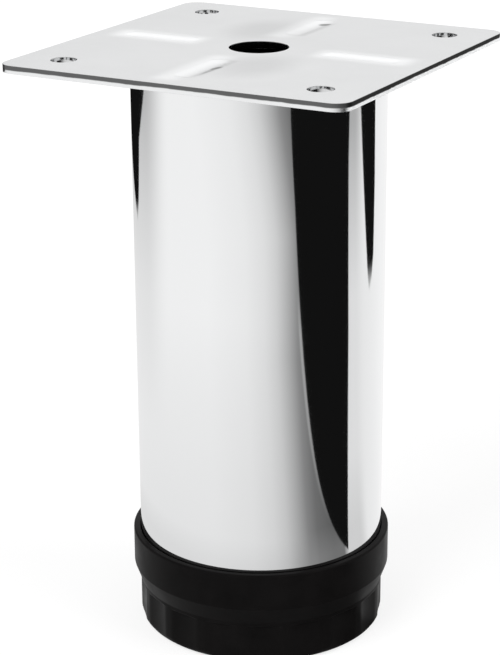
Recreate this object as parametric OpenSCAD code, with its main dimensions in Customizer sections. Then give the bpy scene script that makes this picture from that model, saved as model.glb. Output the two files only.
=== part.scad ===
// Adjustable cabinet leg: a steel tube under a square screw-on plate, with a
// moulded foot that sleeves over the tube's lower end and is moved by a spindle.
// The frame has +Z up and its origin on the floor, in the middle of the foot.
// The sides of the plate run along X and Y, and the foot is drawn fully in.

/* [Leg] */
// Height from the floor to the top of the plate, foot fully in
leg_height = 144; // [110:1:250]
// Outer diameter of the tube
tube_d = 60; // [50:0.5:61]
// Wall of the tube
tube_wall = 1.2; // [0.8:0.1:2]
// How far the foot can be screwed out
foot_travel = 8; // [4:0.5:9]

/* [Plate] */
// Side of the square plate
plate_side = 87; // [80:0.5:110]
// Thickness of the plate
plate_t = 1.9; // [0.8:0.1:3]
// Radius of the plate's corners
plate_corner_r = 4; // [3:0.5:12]
// Diameter of the four screw holes
screw_hole_d = 6; // [4:0.5:8]
// Distance of the screw holes' centres from the plate's sides
screw_inset = 11; // [9:0.5:13]
// Diameter of the middle hole, which a screwdriver goes through
driver_hole_d = 14; // [10:0.5:18]
// Distance of a press mark from the plate's side
mark_margin = 7; // [5:0.5:10]
// Length of a press mark
mark_length = 21; // [16:0.5:24]
// Width of a press mark at the plate's surface
mark_width = 6.5; // [4:0.5:8]
// Depth of a press mark
mark_depth = 0.4; // [0.2:0.05:0.6]

/* [Foot] */
// Wall of the collar that sleeves over the tube
collar_wall = 1.7; // [1.2:0.1:3]
// Height of the foot's rim above the floor
foot_height = 24; // [22:0.5:30]
// Height of the straight side of the collar, below its rim
collar_side = 9; // [6:0.5:10]
// Depth of the bore that takes the tube's end
collar_bore_depth = 11.5; // [11.5:0.5:12.5]
// Height of the slope between the collar and the grip
taper_h = 4.3; // [2:0.1:5]
// How much less the grip's radius is than the collar's
grip_step = 1.55; // [0.5:0.05:1.6]
// Wall of the grip
grip_wall = 2.65; // [2:0.05:3.5]
// Rounding of the foot's lower edge
sole_round = 2; // [0.5:0.1:3]
// Rounding of the rim's outer edge
rim_round = 0.5; // [0.2:0.1:0.8]
// Chamfer at the mouth of the collar
mouth_chamfer = 0.4; // [0.1:0.1:0.6]
// Number of grip flutes
flute_count = 18; // [10:1:24]
// Width of a flute at the grip's surface
flute_width = 8; // [4:0.5:8.5]
// Depth of a flute
flute_depth = 0.5; // [0.2:0.05:0.8]
// Plain band between the flutes and the slope
flute_land = 0.7; // [0.4:0.1:2]
// Width of the ring that stands on the floor
sole_ring_w = 4; // [2:0.5:8]
// Depth of the recess inside that ring
sole_recess = 0.8; // [0.4:0.1:1.5]
// Thickness of the foot's floor
foot_floor_t = 2.4; // [1.8:0.1:3]
// Number of ribs in the foot
foot_rib_count = 6; // [4:1:10]
// Thickness of a rib in the foot
foot_rib_t = 1.8; // [1.2:0.1:2.5]
// Height of the ribs above the foot's floor
foot_rib_h = 4.8; // [3:0.1:6]
// Wall of the hub that holds the spindle's head
hub_wall = 3.2; // [2:0.1:4]
// Height of the hub's lip above the retaining ring
hub_lip = 1.3; // [0.6:0.1:1.6]

/* [Spindle] */
// Outer diameter of the spindle's thread
spindle_d = 10; // [8:0.5:12]
// Diameter of the spindle's head
head_d = 16; // [14:0.5:18]
// Thickness of the spindle's head
head_t = 3; // [2:0.1:3.5]
// Length of spindle that stays above the nut with the foot fully out
spindle_spare = 4.6; // [2:0.1:10]
// Chamfer at the spindle's upper end
spindle_chamfer = 1; // [0.5:0.1:1.5]
// Width of the screwdriver slot
slot_w = 1.6; // [1:0.1:2]
// Depth of the screwdriver slot
slot_depth = 2.6; // [1.5:0.1:4]
// Distance across the nut's flats
nut_flats = 16; // [15:0.5:18]
// Height of the nut
nut_h = 8.4; // [6:0.1:9]
// Chamfer of the nut's corners
nut_chamfer = 0.8; // [0.4:0.1:1.2]
// How far the nut lies inside the plug's lower face
nut_recess = 0.5; // [0.2:0.1:1]
// Thickness of the ring that keeps the spindle's head in the hub
ring_t = 1.2; // [0.8:0.1:1.6]

/* [Plug] */
// Thickness of the flange under the tube's end
plug_flange_t = 1.5; // [1:0.1:2]
// Height of the plug's skirt inside the tube
plug_skirt_h = 16; // [12:0.5:24]
// Wall of the plug's skirt
plug_wall = 2; // [1.5:0.1:3]
// Thickness of the plug's floor
plug_floor_t = 2; // [1.5:0.1:3]
// Thickness of the roof over the nut
plug_roof_t = 3; // [2:0.1:5]
// Wall of the boss round the nut, at the nut's corners
plug_boss_wall = 2.6; // [2:0.1:4]
// Number of ribs in the plug
plug_rib_count = 8; // [4:1:12]
// Thickness of a rib in the plug
plug_rib_t = 1.8; // [1.2:0.1:2.5]

/* [Fits] */
// Radial clearance of the collar over the tube
slide_clear = 0.1; // [0.05:0.01:0.1]
// Radial clearance of the spindle's head in the hub
head_clear = 0.1; // [0.05:0.01:0.1]
// Radial clearance of the spindle in the nut
thread_clear = 0.05; // [0.02:0.01:0.1]
// Radial clearance of the spindle in the ring and in the roof of the plug
shank_clear = 0.3; // [0.2:0.05:0.4]
// Clearance of what is pressed in for good
press_clear = 0.04; // [0.02:0.01:0.06]
// Gap between the spindle's head and the ring above it
ring_gap = 0.1; // [0.05:0.05:0.2]

/* [Hidden] */
$fn = 96;

// Overrun of every cut past the face that it opens
overrun = 0.6;
// Steps of a rounded edge of the foot
round_steps = 8;
// Faces of a nut
hex_sides = 6;

tube_r = tube_d / 2;
tube_bore_r = tube_r - tube_wall;
plate_bottom_z = leg_height - plate_t;
screw_offset = plate_side / 2 - screw_inset;

ledge_z = foot_height - collar_bore_depth;
collar_bore_r = tube_r + slide_clear;
collar_r = collar_bore_r + collar_wall;
collar_bottom_z = foot_height - collar_side;
grip_r = collar_r - grip_step;
grip_top_z = collar_bottom_z - taper_h;
grip_bore_r = grip_r - grip_wall;
sole_r = grip_r - sole_round;
foot_floor_z = sole_recess + foot_floor_t;

head_r = head_d / 2;
hub_bore_r = head_r + head_clear;
hub_r = hub_bore_r + hub_wall;
head_top_z = foot_floor_z + head_t;
ring_bottom_z = head_top_z + ring_gap;
hub_top_z = ring_bottom_z + ring_t + hub_lip;

plug_flange_r = tube_r - slide_clear;
plug_skirt_r = tube_bore_r - press_clear;
tube_bottom_z = ledge_z + plug_flange_t;
nut_bottom_z = ledge_z + nut_recess;
nut_top_z = nut_bottom_z + nut_h;
plug_roof_z = nut_top_z + plug_roof_t;
nut_corner_r = nut_flats / 2 / cos(180 / hex_sides);
pocket_corner_r = (nut_flats / 2 + press_clear) / cos(180 / hex_sides);
boss_r = pocket_corner_r + plug_boss_wall;

spindle_r = spindle_d / 2;
spindle_top_z = nut_top_z + foot_travel + spindle_spare;

// Radius of the round tool that leaves a groove of this width and depth
function groove_r(width, depth) = (width * width / 4 + depth * depth) / (2 * depth);

// Points of an arc round [x, z], from one angle to another
function arc(x, z, r, from, to) =
    [for (i = [0:round_steps])
        let (a = from + (to - from) * i / round_steps)
        [x + r * cos(a), z + r * sin(a)]];

// Regular hexagonal prism that stands on z
module hex_prism(corner_r, height) {
    linear_extrude(height)
        circle(r = corner_r, $fn = hex_sides);
}

// Ring of ribs between two radii, each sunk a little into both walls
module radial_ribs(count, thickness, inner_r, outer_r, height) {
    for (i = [0:count - 1])
        rotate([0, 0, 360 * i / count])
            translate([inner_r, -thickness / 2, 0])
                cube([outer_r - inner_r, thickness, height]);
}

// Square sheet with round corners
module plate_blank() {
    corner = plate_side / 2 - plate_corner_r;
    linear_extrude(plate_t)
        union() {
            square([plate_side, 2 * corner], center = true);
            square([2 * corner, plate_side], center = true);
            for (x = [-corner, corner], y = [-corner, corner])
                translate([x, y])
                    circle(r = plate_corner_r);
        }
}

// Shallow round-ended groove along X that a rounded press tool leaves
module press_mark() {
    tool_r = groove_r(mark_width, mark_depth);
    end_inset = mark_width / 2;
    far_x = plate_side / 2 - mark_margin - end_inset;
    near_x = far_x - mark_length + mark_width;
    translate([0, 0, plate_t - mark_depth + tool_r]) {
        translate([near_x, 0, 0])
            rotate([0, 90, 0])
                cylinder(r = tool_r, h = far_x - near_x);
        for (x = [near_x, far_x])
            translate([x, 0, 0])
                sphere(r = tool_r);
    }
}

module mounting_plate() {
    hole_h = plate_t + 2 * overrun;
    color([0.84, 0.85, 0.86])
        translate([0, 0, plate_bottom_z])
            difference() {
                plate_blank();
                for (x = [-1, 1], y = [-1, 1])
                    translate([x * screw_offset, y * screw_offset, -overrun])
                        cylinder(d = screw_hole_d, h = hole_h);
                translate([0, 0, -overrun])
                    cylinder(d = driver_hole_d, h = hole_h);
                for (quarter = [0:3])
                    rotate([0, 0, 90 * quarter])
                        press_mark();
            }
}

module leg_tube() {
    length = plate_bottom_z - tube_bottom_z;
    color([0.88, 0.89, 0.9])
        translate([0, 0, tube_bottom_z])
            difference() {
                cylinder(r = tube_r, h = length);
                translate([0, 0, -overrun])
                    cylinder(r = tube_bore_r, h = length + 2 * overrun);
            }
}

// Moulded cup pressed into the tube's end, with a boss that holds the nut
module tube_plug() {
    skirt_bore_r = plug_skirt_r - plug_wall;
    skirt_top_z = tube_bottom_z + plug_skirt_h;
    floor_z = ledge_z + plug_floor_t;
    rib_inner_r = boss_r - plug_boss_wall / 2;
    rib_outer_r = skirt_bore_r + plug_wall / 2;
    color([0.2, 0.2, 0.21])
        difference() {
            union() {
                rotate_extrude()
                    polygon([
                        [0, ledge_z],
                        [plug_flange_r, ledge_z],
                        [plug_flange_r, tube_bottom_z],
                        [plug_skirt_r, tube_bottom_z],
                        [plug_skirt_r, skirt_top_z],
                        [skirt_bore_r, skirt_top_z],
                        [skirt_bore_r, floor_z],
                        [boss_r, floor_z],
                        [boss_r, plug_roof_z],
                        [0, plug_roof_z]
                    ]);
                translate([0, 0, ledge_z])
                    radial_ribs(plug_rib_count, plug_rib_t, rib_inner_r, rib_outer_r,
                                plug_roof_z - ledge_z);
            }
            translate([0, 0, ledge_z - overrun])
                hex_prism(pocket_corner_r, nut_top_z - ledge_z + overrun);
            translate([0, 0, nut_top_z - overrun])
                cylinder(r = spindle_r + shank_clear, h = plug_roof_t + 2 * overrun);
        }
}

module spindle_nut() {
    flat_r = nut_flats / 2;
    edge_r = nut_corner_r;
    color([0.74, 0.75, 0.77])
        translate([0, 0, nut_bottom_z])
            difference() {
                intersection() {
                    hex_prism(nut_corner_r, nut_h);
                    rotate_extrude()
                        polygon([
                            [0, 0],
                            [flat_r, 0],
                            [edge_r, nut_chamfer],
                            [edge_r, nut_h - nut_chamfer],
                            [flat_r, nut_h],
                            [0, nut_h]
                        ]);
                }
                translate([0, 0, -overrun])
                    cylinder(r = spindle_r + thread_clear, h = nut_h + 2 * overrun);
            }
}

// Threaded spindle: its head turns in the foot's hub, its upper end is slotted
module spindle() {
    color([0.78, 0.79, 0.8])
        difference() {
            rotate_extrude()
                polygon([
                    [0, foot_floor_z],
                    [head_r, foot_floor_z],
                    [head_r, head_top_z],
                    [spindle_r, head_top_z],
                    [spindle_r, spindle_top_z - spindle_chamfer],
                    [spindle_r - spindle_chamfer, spindle_top_z],
                    [0, spindle_top_z]
                ]);
            translate([-spindle_r - overrun, -slot_w / 2, spindle_top_z - slot_depth])
                cube([spindle_d + 2 * overrun, slot_w, slot_depth + overrun]);
        }
}

module retaining_ring() {
    color([0.6, 0.61, 0.63])
        translate([0, 0, ring_bottom_z])
            difference() {
                cylinder(r = hub_bore_r - press_clear, h = ring_t);
                translate([0, 0, -overrun])
                    cylinder(r = spindle_r + shank_clear, h = ring_t + 2 * overrun);
            }
}

// Section of the foot's wall and floor, turned about Z
module foot_section() {
    recess_r = sole_r - sole_ring_w;
    polygon(concat(
        [
            [0, sole_recess],
            [recess_r, sole_recess],
            [recess_r, 0]
        ],
        arc(sole_r, sole_round, sole_round, -90, 0),
        [
            [grip_r, grip_top_z],
            [collar_r, collar_bottom_z]
        ],
        arc(collar_r - rim_round, foot_height - rim_round, rim_round, 0, 90),
        [
            [collar_bore_r + mouth_chamfer, foot_height],
            [collar_bore_r, foot_height - mouth_chamfer],
            [collar_bore_r, ledge_z],
            [grip_bore_r, ledge_z],
            [grip_bore_r, foot_floor_z],
            [0, foot_floor_z]
        ]
    ));
}

// Upright round tools that leave the grip flutes
module flute_cutters() {
    tool_r = groove_r(flute_width, flute_depth);
    for (i = [0:flute_count - 1])
        rotate([0, 0, 360 * i / flute_count])
            translate([grip_r - flute_depth + tool_r, 0, -overrun])
                cylinder(r = tool_r, h = grip_top_z - flute_land + overrun);
}

module foot() {
    color([0.08, 0.08, 0.085])
        union() {
            difference() {
                rotate_extrude()
                    foot_section();
                flute_cutters();
            }
            translate([0, 0, foot_floor_z])
                radial_ribs(foot_rib_count, foot_rib_t, hub_r - hub_wall / 2,
                            grip_bore_r + grip_wall / 4, foot_rib_h);
            difference() {
                cylinder(r = hub_r, h = hub_top_z);
                translate([0, 0, foot_floor_z])
                    cylinder(r = hub_bore_r, h = hub_top_z);
                translate([0, 0, -overrun])
                    cylinder(r = hub_r + overrun, h = sole_recess + overrun);
            }
        }
}

mounting_plate();
leg_tube();
tube_plug();
spindle_nut();
spindle();
retaining_ring();
foot();
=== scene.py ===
import math

import bmesh
import bpy
from mathutils import Matrix, Vector


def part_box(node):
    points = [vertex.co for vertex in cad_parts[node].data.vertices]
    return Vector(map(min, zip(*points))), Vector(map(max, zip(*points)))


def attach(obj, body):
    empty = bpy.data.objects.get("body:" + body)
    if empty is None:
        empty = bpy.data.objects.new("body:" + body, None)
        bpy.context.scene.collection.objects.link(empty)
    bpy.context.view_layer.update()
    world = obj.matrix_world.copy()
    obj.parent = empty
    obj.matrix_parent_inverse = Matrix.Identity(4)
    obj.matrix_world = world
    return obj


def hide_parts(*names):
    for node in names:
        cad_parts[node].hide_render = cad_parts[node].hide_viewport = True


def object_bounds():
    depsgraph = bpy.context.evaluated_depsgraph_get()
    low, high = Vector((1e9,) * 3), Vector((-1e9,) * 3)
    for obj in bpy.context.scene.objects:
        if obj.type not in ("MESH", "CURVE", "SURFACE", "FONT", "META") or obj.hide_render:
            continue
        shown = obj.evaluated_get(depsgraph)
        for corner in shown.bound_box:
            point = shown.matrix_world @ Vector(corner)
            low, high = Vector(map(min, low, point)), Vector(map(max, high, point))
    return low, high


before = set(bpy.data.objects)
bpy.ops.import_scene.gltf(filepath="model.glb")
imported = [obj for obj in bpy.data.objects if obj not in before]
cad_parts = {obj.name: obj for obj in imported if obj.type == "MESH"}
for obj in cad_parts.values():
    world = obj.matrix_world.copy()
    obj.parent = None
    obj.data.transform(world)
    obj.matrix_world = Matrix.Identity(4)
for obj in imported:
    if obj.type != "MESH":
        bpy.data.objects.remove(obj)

bl_info = {
    "name": "Adjustable Cabinet Leg",
    "version": (1, 0, 0),
    "blender": (4, 5, 0),
    "location": "3D View > Sidebar > Cabinet Leg",
    "description": "Dresses the packed cabinet leg: plate, chromed tube, moulded foot and threaded spindle",
    "category": "Object",
}

MM = 0.001
FULL_TURN = 2 * math.pi
WHITE = (1.0, 1.0, 1.0, 1.0)

# The photograph's frame and the sensor that its longer side fills
PHOTO_HEIGHT_PX = 655
SENSOR_MM = 36.0

CAD_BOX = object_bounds()
LEG_HEIGHT = CAD_BOX[1].z
PLATE_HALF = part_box("mounting_plate")[1].x
FOOT_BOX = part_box("foot")
TUBE_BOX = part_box("leg_tube")
SPINDLE_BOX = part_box("spindle")


# Sizes and colours


class CabinetLegPlateSettings(bpy.types.PropertyGroup):
    """Edges and finish of the mounting plate"""
    edge_round: bpy.props.FloatProperty(
        name="Edge rounding", description="Rounding of the plate's stamped edges",
        default=0.12 * MM, min=0.02 * MM, max=0.5 * MM, unit="LENGTH", precision=5)
    colour: bpy.props.FloatVectorProperty(
        name="Plating colour", description="Colour of the plate's satin plating",
        default=(0.77, 0.775, 0.78), min=0, max=1, subtype="COLOR")
    roughness: bpy.props.FloatProperty(
        name="Roughness", description="Roughness of the satin plating",
        default=0.33, min=0, max=1, subtype="FACTOR")


class CabinetLegTubeSettings(bpy.types.PropertyGroup):
    """Edges and finish of the chromed tube"""
    weld_fillet: bpy.props.FloatProperty(
        name="Weld fillet", description="Radius of the plated fillet where the tube meets the plate",
        default=0.45 * MM, min=0.1 * MM, max=1.0 * MM, unit="LENGTH", precision=5)
    edge_round: bpy.props.FloatProperty(
        name="Edge rounding", description="Rounding of the tube's cut lower end",
        default=0.2 * MM, min=0.02 * MM, max=0.5 * MM, unit="LENGTH", precision=5)
    colour: bpy.props.FloatVectorProperty(
        name="Chrome colour", description="Colour of the chrome",
        default=(0.93, 0.935, 0.94), min=0, max=1, subtype="COLOR")


class CabinetLegFootSettings(bpy.types.PropertyGroup):
    """Form and finish of the moulded foot"""
    flute_count: bpy.props.IntProperty(
        name="Flutes", description="Number of grip flutes", default=18, min=6, max=36)
    flute_width: bpy.props.FloatProperty(
        name="Flute width", description="Width of a flute at the grip's surface",
        default=8 * MM, min=2 * MM, max=9 * MM, unit="LENGTH", precision=5)
    flute_depth: bpy.props.FloatProperty(
        name="Flute depth", description="Depth of a flute",
        default=0.5 * MM, min=0.1 * MM, max=1 * MM, unit="LENGTH", precision=5)
    rib_count: bpy.props.IntProperty(
        name="Ribs", description="Number of ribs between the hub and the grip's wall",
        default=6, min=3, max=12)
    rib_thickness: bpy.props.FloatProperty(
        name="Rib thickness", description="Thickness of a rib",
        default=1.8 * MM, min=1 * MM, max=3 * MM, unit="LENGTH", precision=5)
    colour: bpy.props.FloatVectorProperty(
        name="Plastic colour", description="Colour of the black plastic",
        default=(0.0038, 0.0034, 0.0034), min=0, max=1, subtype="COLOR")


class CabinetLegSpindleSettings(bpy.types.PropertyGroup):
    """Thread and finish of the steel spindle"""
    thread_pitch: bpy.props.FloatProperty(
        name="Thread pitch", description="Pitch of the spindle's thread",
        default=1.5 * MM, min=0.5 * MM, max=2 * MM, unit="LENGTH", precision=5)
    thread_depth: bpy.props.FloatProperty(
        name="Thread depth", description="Depth of the spindle's thread",
        default=0.92 * MM, min=0.3 * MM, max=1.2 * MM, unit="LENGTH", precision=5)
    colour: bpy.props.FloatVectorProperty(
        name="Steel colour", description="Colour of the zinc-plated steel",
        default=(0.66, 0.67, 0.68), min=0, max=1, subtype="COLOR")


class CabinetLegStageSettings(bpy.types.PropertyGroup):
    """Camera and floor"""
    view_azimuth: bpy.props.FloatProperty(
        name="View azimuth", description="Where the camera stands, from the leg's front to its right",
        default=math.radians(28.51), subtype="ANGLE")
    view_pitch: bpy.props.FloatProperty(
        name="View pitch", description="How far the camera looks down",
        default=math.radians(19.36), subtype="ANGLE")
    view_pan: bpy.props.FloatProperty(
        name="View pan", description="How far the camera is turned to the left of the tube's axis",
        default=math.radians(0.30), subtype="ANGLE")
    view_roll: bpy.props.FloatProperty(
        name="View roll", description="How far the camera is rolled",
        default=math.radians(-0.35), subtype="ANGLE")
    view_distance: bpy.props.FloatProperty(
        name="View distance", description="Distance of the camera from the tube's axis",
        default=470.8 * MM, unit="LENGTH")
    view_height: bpy.props.FloatProperty(
        name="View height", description="Height of the camera above the plate",
        default=96.6 * MM, unit="LENGTH")
    focal_px: bpy.props.FloatProperty(
        name="Focal length", description="Focal length in pixels of the photograph", default=2057.0)
    floor_size: bpy.props.FloatProperty(
        name="Floor size", description="Side of the floor", default=6.0, unit="LENGTH")
    floor_colour: bpy.props.FloatVectorProperty(
        name="Floor colour", description="Colour of the pale floor",
        default=(0.86, 0.86, 0.86), min=0, max=1, subtype="COLOR")


# Meshes


def rounded_outline(corners, steps=6):
    """Points of a closed outline of (radius, height, rounding) corners, each corner as an arc"""
    points = []
    for i, (x, z, rounding) in enumerate(corners):
        here = Vector((x, z))
        before = Vector(corners[i - 1][:2]) - here
        after = Vector(corners[(i + 1) % len(corners)][:2]) - here
        if rounding == 0:
            points.append(here)
            continue
        opening = before.angle(after)
        reach = rounding / math.tan(opening / 2)
        start = here + before.normalized() * reach
        middle = (before.normalized() + after.normalized()).normalized()
        centre = here + middle * (rounding / math.sin(opening / 2))
        turn = (math.pi - opening) * (1 if before.cross(after) < 0 else -1)
        for k in range(steps + 1):
            points.append(centre + Matrix.Rotation(turn * k / steps, 2) @ (start - centre))
    return points


def turned_mesh(name, outline, segments, closed=True):
    """Mesh of an outline turned about Z; an open outline starts and ends on the axis"""
    mesh = bpy.data.meshes.new(name)
    bm = bmesh.new()
    angles = [FULL_TURN * i / segments for i in range(segments)]
    rings = []
    for x, z in outline:
        if x <= 0:
            rings.append([bm.verts.new((0, 0, z))])
        else:
            rings.append([bm.verts.new((x * math.cos(a), x * math.sin(a), z)) for a in angles])
    pairs = list(zip(rings, rings[1:]))
    if closed:
        pairs.append((rings[-1], rings[0]))
    for low, high in pairs:
        for i in range(segments):
            j = (i + 1) % segments
            if len(low) == 1:
                bm.faces.new((low[0], high[j], high[i]))
            elif len(high) == 1:
                bm.faces.new((low[i], low[j], high[0]))
            else:
                bm.faces.new((low[i], low[j], high[j], high[i]))
    bmesh.ops.recalc_face_normals(bm, faces=bm.faces)
    bm.to_mesh(mesh)
    bm.free()
    return mesh


def new_piece(name, mesh, material=None):
    """Object of a mesh, in the scene and with its material"""
    piece = bpy.data.objects.new(name, mesh)
    bpy.context.scene.collection.objects.link(piece)
    if material:
        mesh.materials.clear()
        mesh.materials.append(material)
    return piece


def bake_modifiers(piece, material):
    """Turns a piece and its modifiers into a plain mesh with one material"""
    bpy.context.view_layer.update()
    depsgraph = bpy.context.evaluated_depsgraph_get()
    mesh = bpy.data.meshes.new_from_object(piece.evaluated_get(depsgraph))
    piece.modifiers.clear()
    piece.data = mesh
    mesh.name = piece.name
    mesh.materials.clear()
    mesh.materials.append(material)


def finish_piece(piece, material, crease_deg):
    """Bakes a piece and shades it smooth, with sharp creases and flat faces kept flat"""
    bake_modifiers(piece, material)
    piece.data.shade_smooth()
    piece.data.set_sharp_from_angle(angle=math.radians(crease_deg))
    weighted = piece.modifiers.new("weighted normals", "WEIGHTED_NORMAL")
    weighted.keep_sharp = True
    bake_modifiers(piece, material)


def cut_box(piece, material, size, place):
    """Cuts a box of a size, with its middle at a place, out of a piece"""
    mesh = bpy.data.meshes.new("cutter")
    bm = bmesh.new()
    bmesh.ops.create_cube(bm, size=1, matrix=Matrix.Translation(place) @ Matrix.Diagonal((*size, 1)))
    bm.to_mesh(mesh)
    bm.free()
    cutter = new_piece("cutter", mesh)
    cut = piece.modifiers.new("cut", "BOOLEAN")
    cut.operation = "DIFFERENCE"
    cut.solver = "EXACT"
    cut.object = cutter
    bake_modifiers(piece, material)
    bpy.data.objects.remove(cutter)


def radii(node):
    """Smallest and largest distance of a CAD node's points from the Z axis"""
    found = [v.co.xy.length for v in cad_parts[node].data.vertices]
    return min(found), max(found)


# Node trees

# Kinds of sockets
FLOAT = "NodeSocketFloat"
INTEGER = "NodeSocketInt"
VECTOR = "NodeSocketVector"
GEOMETRY = "NodeSocketGeometry"
MATERIAL = "NodeSocketMaterial"


def set_inputs(tree, node, inputs):
    """Sets a node's inputs to values, or links them to sockets"""
    for key, value in inputs.items():
        if isinstance(value, bpy.types.NodeSocket):
            tree.links.new(value, node.inputs[key])
        else:
            node.inputs[key].default_value = value


def add_node(tree, kind, inputs=None, **properties):
    """New node with its properties set, and its inputs given as values or as sockets to link"""
    made = tree.nodes.new(kind)
    for name, value in properties.items():
        setattr(made, name, value)
    set_inputs(tree, made, inputs or {})
    return made


def calculate(tree, operation, *values, kind="ShaderNodeMath"):
    """Output of a math node that works on values and sockets"""
    return add_node(tree, kind, dict(enumerate(values)), operation=operation).outputs[0]


def vector_math(tree, operation, *vectors):
    """Output of a vector math node that works on vectors"""
    return calculate(tree, operation, *vectors, kind="ShaderNodeVectorMath")


def length(tree, vector):
    """Output of a vector's length"""
    return add_node(tree, "ShaderNodeVectorMath", {0: vector}, operation="LENGTH").outputs["Value"]


def scaled(tree, vector, factor):
    """Output of a vector or a colour scaled by a value"""
    return add_node(tree, "ShaderNodeVectorMath", {0: vector, "Scale": factor}, operation="SCALE").outputs[0]


def separate(tree, vector):
    """The X, Y and Z outputs of a vector"""
    return add_node(tree, "ShaderNodeSeparateXYZ", {0: vector}).outputs


def combine(tree, x=0.0, y=0.0, z=0.0):
    """Output of a vector made from three values"""
    return add_node(tree, "ShaderNodeCombineXYZ", {0: x, 1: y, 2: z}).outputs[0]


def times(tree, first, *others):
    """Output of a product of values and sockets"""
    for other in others:
        first = calculate(tree, "MULTIPLY", first, other)
    return first


def largest(tree, first, *others):
    """Output of the largest of some values and sockets"""
    for other in others:
        first = calculate(tree, "MAXIMUM", first, other)
    return first


def map_range(tree, value, from_low, from_high, to_low, to_high, smooth=False):
    """Output of a clamped map range node"""
    kind = "SMOOTHSTEP" if smooth else "LINEAR"
    limits = {"From Min": from_low, "From Max": from_high, "To Min": to_low, "To Max": to_high}
    return add_node(tree, "ShaderNodeMapRange", {"Value": value, **limits},
                    interpolation_type=kind).outputs["Result"]


def blend(tree, mask, low, high):
    """Output between two values, by a mask"""
    return map_range(tree, mask, 0.0, 1.0, low, high)


def window(tree, value, starts, opens, closes, ends):
    """Mask that rises and falls again as a value passes four places in turn"""
    rise = map_range(tree, value, starts, opens, 0.0, 1.0, smooth=True)
    fall = map_range(tree, value, closes, ends, 1.0, 0.0, smooth=True)
    return times(tree, rise, fall)


def mix_colour(tree, factor, low, high):
    """Output of a mix of two colours"""
    return add_node(tree, "ShaderNodeMix", {0: factor, 6: low, 7: high}, data_type="RGBA").outputs[2]


def mix_shader(tree, factor, first, second):
    """Output of a mix of two shaders"""
    return add_node(tree, "ShaderNodeMixShader", {0: factor, 1: first, 2: second}).outputs[0]


def emission(tree, strength):
    """Output of a white light of some strength"""
    return add_node(tree, "ShaderNodeEmission", {"Strength": strength}).outputs[0]


def new_group(name, kind, inputs, outputs):
    """Node group with the sockets given as (name, type, default), and its two end nodes"""
    tree = bpy.data.node_groups.new(name, kind)
    for label, socket_type, default in inputs:
        socket = tree.interface.new_socket(name=label, in_out="INPUT", socket_type=socket_type)
        if default is not None:
            socket.default_value = default
    for label, socket_type in outputs:
        tree.interface.new_socket(name=label, in_out="OUTPUT", socket_type=socket_type)
    return tree, tree.nodes.new("NodeGroupInput"), tree.nodes.new("NodeGroupOutput")


def empty_tree(owner):
    """Node tree of a material or a world, with no nodes in it"""
    owner.use_nodes = True
    owner.node_tree.nodes.clear()
    return owner.node_tree


# Shared shader groups


def build_mottle_group(name):
    """Soft cloudy variation of a surface, from 0 to 1"""
    sockets = [("Vector", VECTOR, None), ("Patch Scale", FLOAT, 60.0), ("Contrast", FLOAT, 1.0)]
    tree, start, end = new_group(name, "ShaderNodeTree", sockets, [("Mask", FLOAT)])
    broad = add_node(tree, "ShaderNodeTexNoise", {
        "Vector": start.outputs["Vector"], "Scale": start.outputs["Patch Scale"],
        "Detail": 3.0, "Roughness": 0.55}).outputs["Fac"]
    spread = times(tree, calculate(tree, "SUBTRACT", broad, 0.5), start.outputs["Contrast"])
    mask = calculate(tree, "ADD", spread, 0.5)
    set_inputs(tree, end, {"Mask": add_node(tree, "ShaderNodeClamp", {"Value": mask}).outputs[0]})


def build_hairline_group(name):
    """Fine lines drawn out along one axis, from 0 to 1"""
    sockets = [("Vector", VECTOR, None), ("Line Scale", VECTOR, (1.0, 1.0, 1.0)), ("Sharpness", FLOAT, 3.0)]
    tree, start, end = new_group(name, "ShaderNodeTree", sockets, [("Mask", FLOAT)])
    drawn = vector_math(tree, "MULTIPLY", start.outputs["Vector"], start.outputs["Line Scale"])
    lines = add_node(tree, "ShaderNodeTexNoise", {
        "Vector": drawn, "Scale": 1.0, "Detail": 4.0, "Roughness": 0.6}).outputs["Fac"]
    set_inputs(tree, end, {"Mask": calculate(tree, "POWER", lines, start.outputs["Sharpness"])})


def build_grain_group(name):
    """Height of the fine eroded grain of a plastic mould"""
    sockets = [("Vector", VECTOR, None), ("Grain Scale", FLOAT, 2600.0)]
    tree, start, end = new_group(name, "ShaderNodeTree", sockets, [("Height", FLOAT)])
    place = {"Vector": start.outputs["Vector"], "Scale": start.outputs["Grain Scale"]}
    fine = add_node(tree, "ShaderNodeTexNoise", {**place, "Detail": 2.0, "Roughness": 0.5}).outputs["Fac"]
    cells = add_node(tree, "ShaderNodeTexVoronoi", place).outputs["Distance"]
    set_inputs(tree, end, {"Height": calculate(tree, "MULTIPLY_ADD", cells, 0.5, fine)})


def build_mark_group(name):
    """Where a straight press mark lies along one axis, fading at its sides and ends"""
    labels = ("Along", "Across", "Start", "End", "Centre", "Half Width")
    sockets = [*((label, FLOAT, 0.0) for label in labels), ("Softness", FLOAT, 1 * MM)]
    tree, start, end = new_group(name, "ShaderNodeTree", sockets, [("Mask", FLOAT)])
    given = start.outputs
    soft = given["Softness"]
    ends = window(tree, given["Along"], given["Start"], calculate(tree, "ADD", given["Start"], soft),
                  calculate(tree, "SUBTRACT", given["End"], soft), given["End"])
    aside = calculate(tree, "ABSOLUTE", calculate(tree, "SUBTRACT", given["Across"], given["Centre"]))
    sides = map_range(tree, aside, calculate(tree, "SUBTRACT", given["Half Width"], soft),
                      given["Half Width"], 1.0, 0.0, smooth=True)
    set_inputs(tree, end, {"Mask": times(tree, ends, sides)})


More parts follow.
